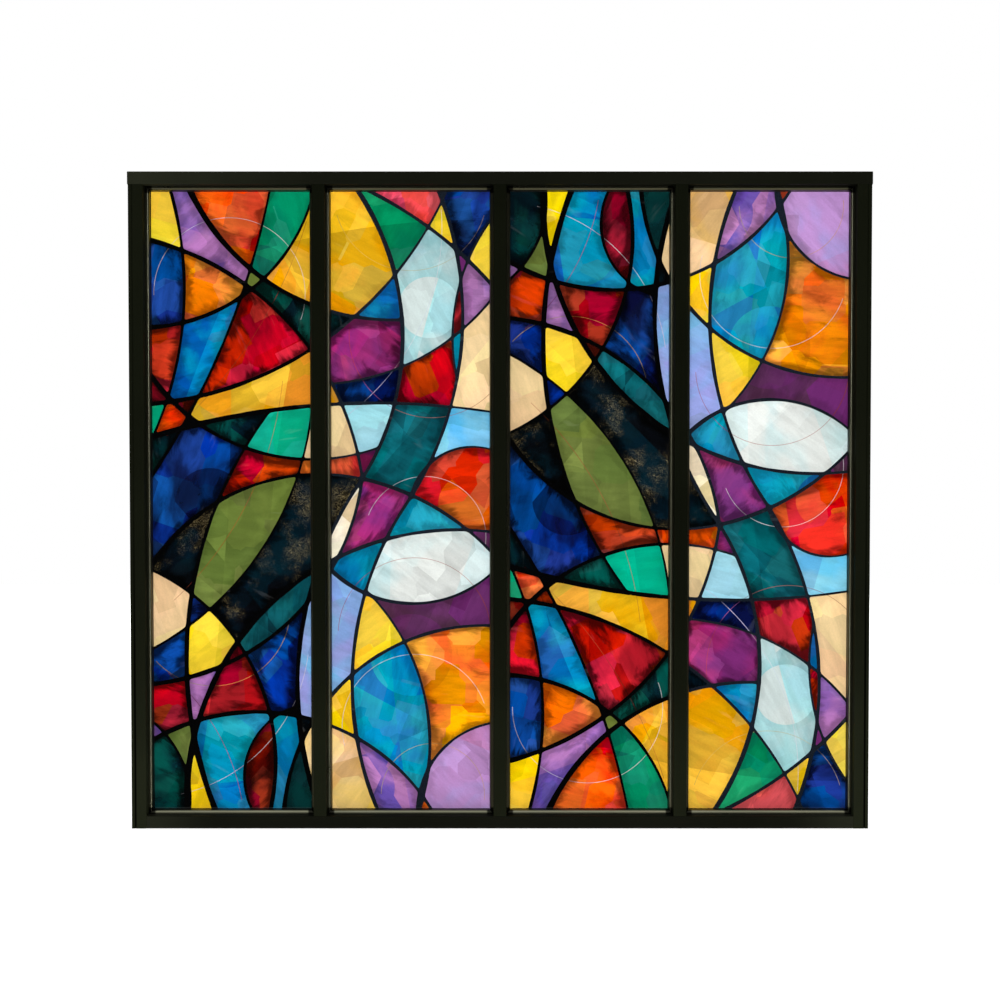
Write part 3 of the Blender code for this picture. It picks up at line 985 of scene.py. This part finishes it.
def dust_cover(nodes, own, turned, dusty):
    """How much pale dust covers: gritty specks and scratches, in patches."""
    patches = nodes.ramp(nodes.noise(own, DUST), *DUST_LEVELS)
    away = nodes.add("ShaderNodeTexVoronoi", {"Vector": own, "Scale": SPECK_SCALE}).outputs["Distance"]
    specks = nodes.ramp(away, *SPECK_LEVELS, 1.0, 0.0)
    scratches = nodes.noise(nodes.stretched(turned, SCRATCH_STRETCH), SCRATCHES)
    scratches = nodes.ramp(scratches, *SCRATCH_LEVELS, 0.0, SCRATCH_COVER)
    grit = nodes.ramp(nodes.noise(own, GRIT), *GRIT_LEVELS, *GRIT_SHARE)
    grains = nodes.math("MULTIPLY", nodes.math("MAXIMUM", specks, scratches), grit)
    grains = nodes.math("MULTIPLY", patches, grains)
    return nodes.math("MULTIPLY", grains, nodes.between(dusty, 0.0, DUST_COVER))


def printed_glass(name):
    """Painted colours under clear glass: washes, brush strokes, flat patches, storms, dust and glints."""
    nodes = material_nodes(name)
    seed, storm, dusty = nodes.parts(nodes.face_value("cast"))
    own, turned = own_places(nodes, seed)
    stroke_place = nodes.stretched(turned, STROKE_STRETCH)
    strokes = nodes.noise(stroke_place, STROKES)
    colour = washed(nodes, own, storm)
    varied = brushed(nodes, colour, turned, strokes, storm)
    stormy = nodes.mixed(storm_cover(nodes, turned, storm), varied, nodes.scaled(varied, STORM_SHADE))
    dusted = nodes.mixed(dust_cover(nodes, own, turned, dusty), stormy, (*linear(DUST_COLOUR), 1.0))
    glints = nodes.ramp(nodes.noise(stroke_place, GLINTS), *GLINT_LEVELS, 0.0, GLINT_COVER)
    pale = nodes.vector("ADD", nodes.scaled(colour, GLINT_GAIN), GLINT_LIFT)
    grain = nodes.spread(nodes.noise(nodes.place(), GRAIN), *GRAIN_SHADE)
    return nodes.finish(
        Base_Color=nodes.scaled(nodes.mixed(glints, dusted, pale), grain),
        Roughness=nodes.spread(strokes, *PAINT_ROUGHNESS),
        Specular_IOR_Level=0.0,
        Coat_Weight=1.0,
        Coat_Roughness=0.02,
        Coat_IOR=1.5,
    )


# Stage

def make_camera():
    data = bpy.data.cameras.new("camera")
    data.lens = CAMERA_LENS
    data.sensor_width = CAMERA_SENSOR
    camera = bpy.data.objects.new("camera", data)
    camera.location = CAMERA_PLACE
    camera.rotation_euler = (math.pi / 2 - CAMERA_DIP, 0.0, 0.0)
    bpy.context.scene.collection.objects.link(camera)
    bpy.context.scene.camera = camera


def make_world():
    """White where the camera sees it. In the light that it gives, dark at eye level, pale above and below."""
    nodes = Nodes(bpy.data.worlds.new("studio"), "Background")
    direction = nodes.add("ShaderNodeTexCoord").outputs["Generated"]
    inputs = {"Value": nodes.parts(direction)["Z"], "From Min": -1.0}
    up = nodes.add("ShaderNodeMapRange", inputs).outputs["Result"]
    levels = nodes.add("ShaderNodeValToRGB", {"Fac": up})
    elements = levels.color_ramp.elements
    for height, colour in WORLD_LEVELS:
        elements.new(height).color = (*colour, 1.0)
    elements.remove(elements[0])
    elements.remove(elements[-1])
    seen = nodes.add("ShaderNodeLightPath").outputs["Is Camera Ray"]
    bpy.context.scene.world = nodes.finish(Color=nodes.mixed(seen, levels.outputs["Color"], WHITE))


def make_floor():
    nodes = material_nodes("pale_floor")
    shade = nodes.spread(nodes.noise(nodes.place(), FLOOR_CLOUDS), *FLOOR_SHADE)
    material = nodes.finish(
        Base_Color=nodes.scaled(FLOOR_TINT, shade),
        Roughness=0.8,
        Emission_Color=WHITE,
        Emission_Strength=FLOOR_GLOW,
    )
    mesh = bpy.data.meshes.new("floor")
    corners = rectangle((-FLOOR_REACH, -FLOOR_REACH), (FLOOR_REACH, FLOOR_REACH))
    mesh.from_pydata([(x, y, 0.0) for x, y in corners], [], [(0, 1, 2, 3)])
    mesh.materials.append(material)
    floor = bpy.data.objects.new("floor", mesh)
    bpy.context.scene.collection.objects.link(floor)
    floor.visible_glossy = False


def gather(name, members):
    group = bpy.data.collections.new(name)
    for member in members:
        group.objects.link(member)
    return group


def softbox(name, light, side=1, way=1, receivers=()):
    """An area light, on one side and one way from the middle. Its power gives its face the light's radiance.

    Where receivers are given, it lights them alone, and only the part itself shades them from it.
    """
    data = bpy.data.lights.new(name, "AREA")
    data.shape = "RECTANGLE"
    data.size, data.size_y = light.size
    data.energy = light.radiance * math.pi * light.size[0] * light.size[1]
    place = Vector((side * light.place[0], way * light.place[1], light.place[2]))
    lamp = bpy.data.objects.new(name, data)
    lamp.location = place
    lamp.rotation_euler = (Vector(light.target) - place).to_track_quat("-Z", "Y").to_euler()
    lamp.visible_camera = False
    bpy.context.scene.collection.objects.link(lamp)
    if receivers:
        lamp.light_linking.receiver_collection = gather(f"{name}_receivers", receivers)
        lamp.light_linking.blocker_collection = gather(f"{name}_blockers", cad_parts.values())
    return lamp


def light_side(way, name, panes):
    """Lights one side: a soft key, strips for the gloss of beads and glass, and lights for the sills."""
    key = softbox(f"{name}_softbox", KEY_LIGHT, way=way)
    key.visible_glossy = False
    uprights = [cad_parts[f"{name}_bead_{bay}_{side}"] for bay, side in LIT_BEADS.items()]
    sills = [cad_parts[f"{name}_bead_{bay}_bottom"] for bay in LIT_BEADS]
    for side in (-1, 1):
        for rank, strip in enumerate(BEAD_STRIPS):
            softbox(f"{name}_bead_strip_{side}_{rank}", strip, side, way, uprights)
        softbox(f"{name}_glass_strip_{side}", GLASS_STRIP, side, way, panes)
    softbox(f"{name}_sill_softbox", SILL_LIGHT, way=way, receivers=sills)
    softbox(f"{name}_sill_fill", SILL_FILL, way=way, receivers=sills)


def light_ends():
    """Lights for the outer sides and the top of the frame, too narrow to reach its faces."""
    ends = [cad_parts[f"{side}_{piece}"] for side in ("left", "right") for piece in ("stile", "end_cap")]
    for side in (-1, 1):
        softbox(f"end_softbox_{side}", END_LIGHT, side, receivers=ends)
    softbox("head_softbox", HEAD_LIGHT, receivers=[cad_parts["head_rail"], *ends])


make_camera()
make_world()
make_floor()
dress_frame()
whole_picture = make_picture()
glass = printed_glass("glass_print")
glass_panes = [make_pane(number + 1, whole_picture, glass) for number in range(PANE_COUNT)]
for sign, side_name in ((-1, "front"), (1, "back")):
    light_side(sign, side_name, glass_panes)
light_ends()

bpy.context.scene.view_settings.view_transform = "Standard"
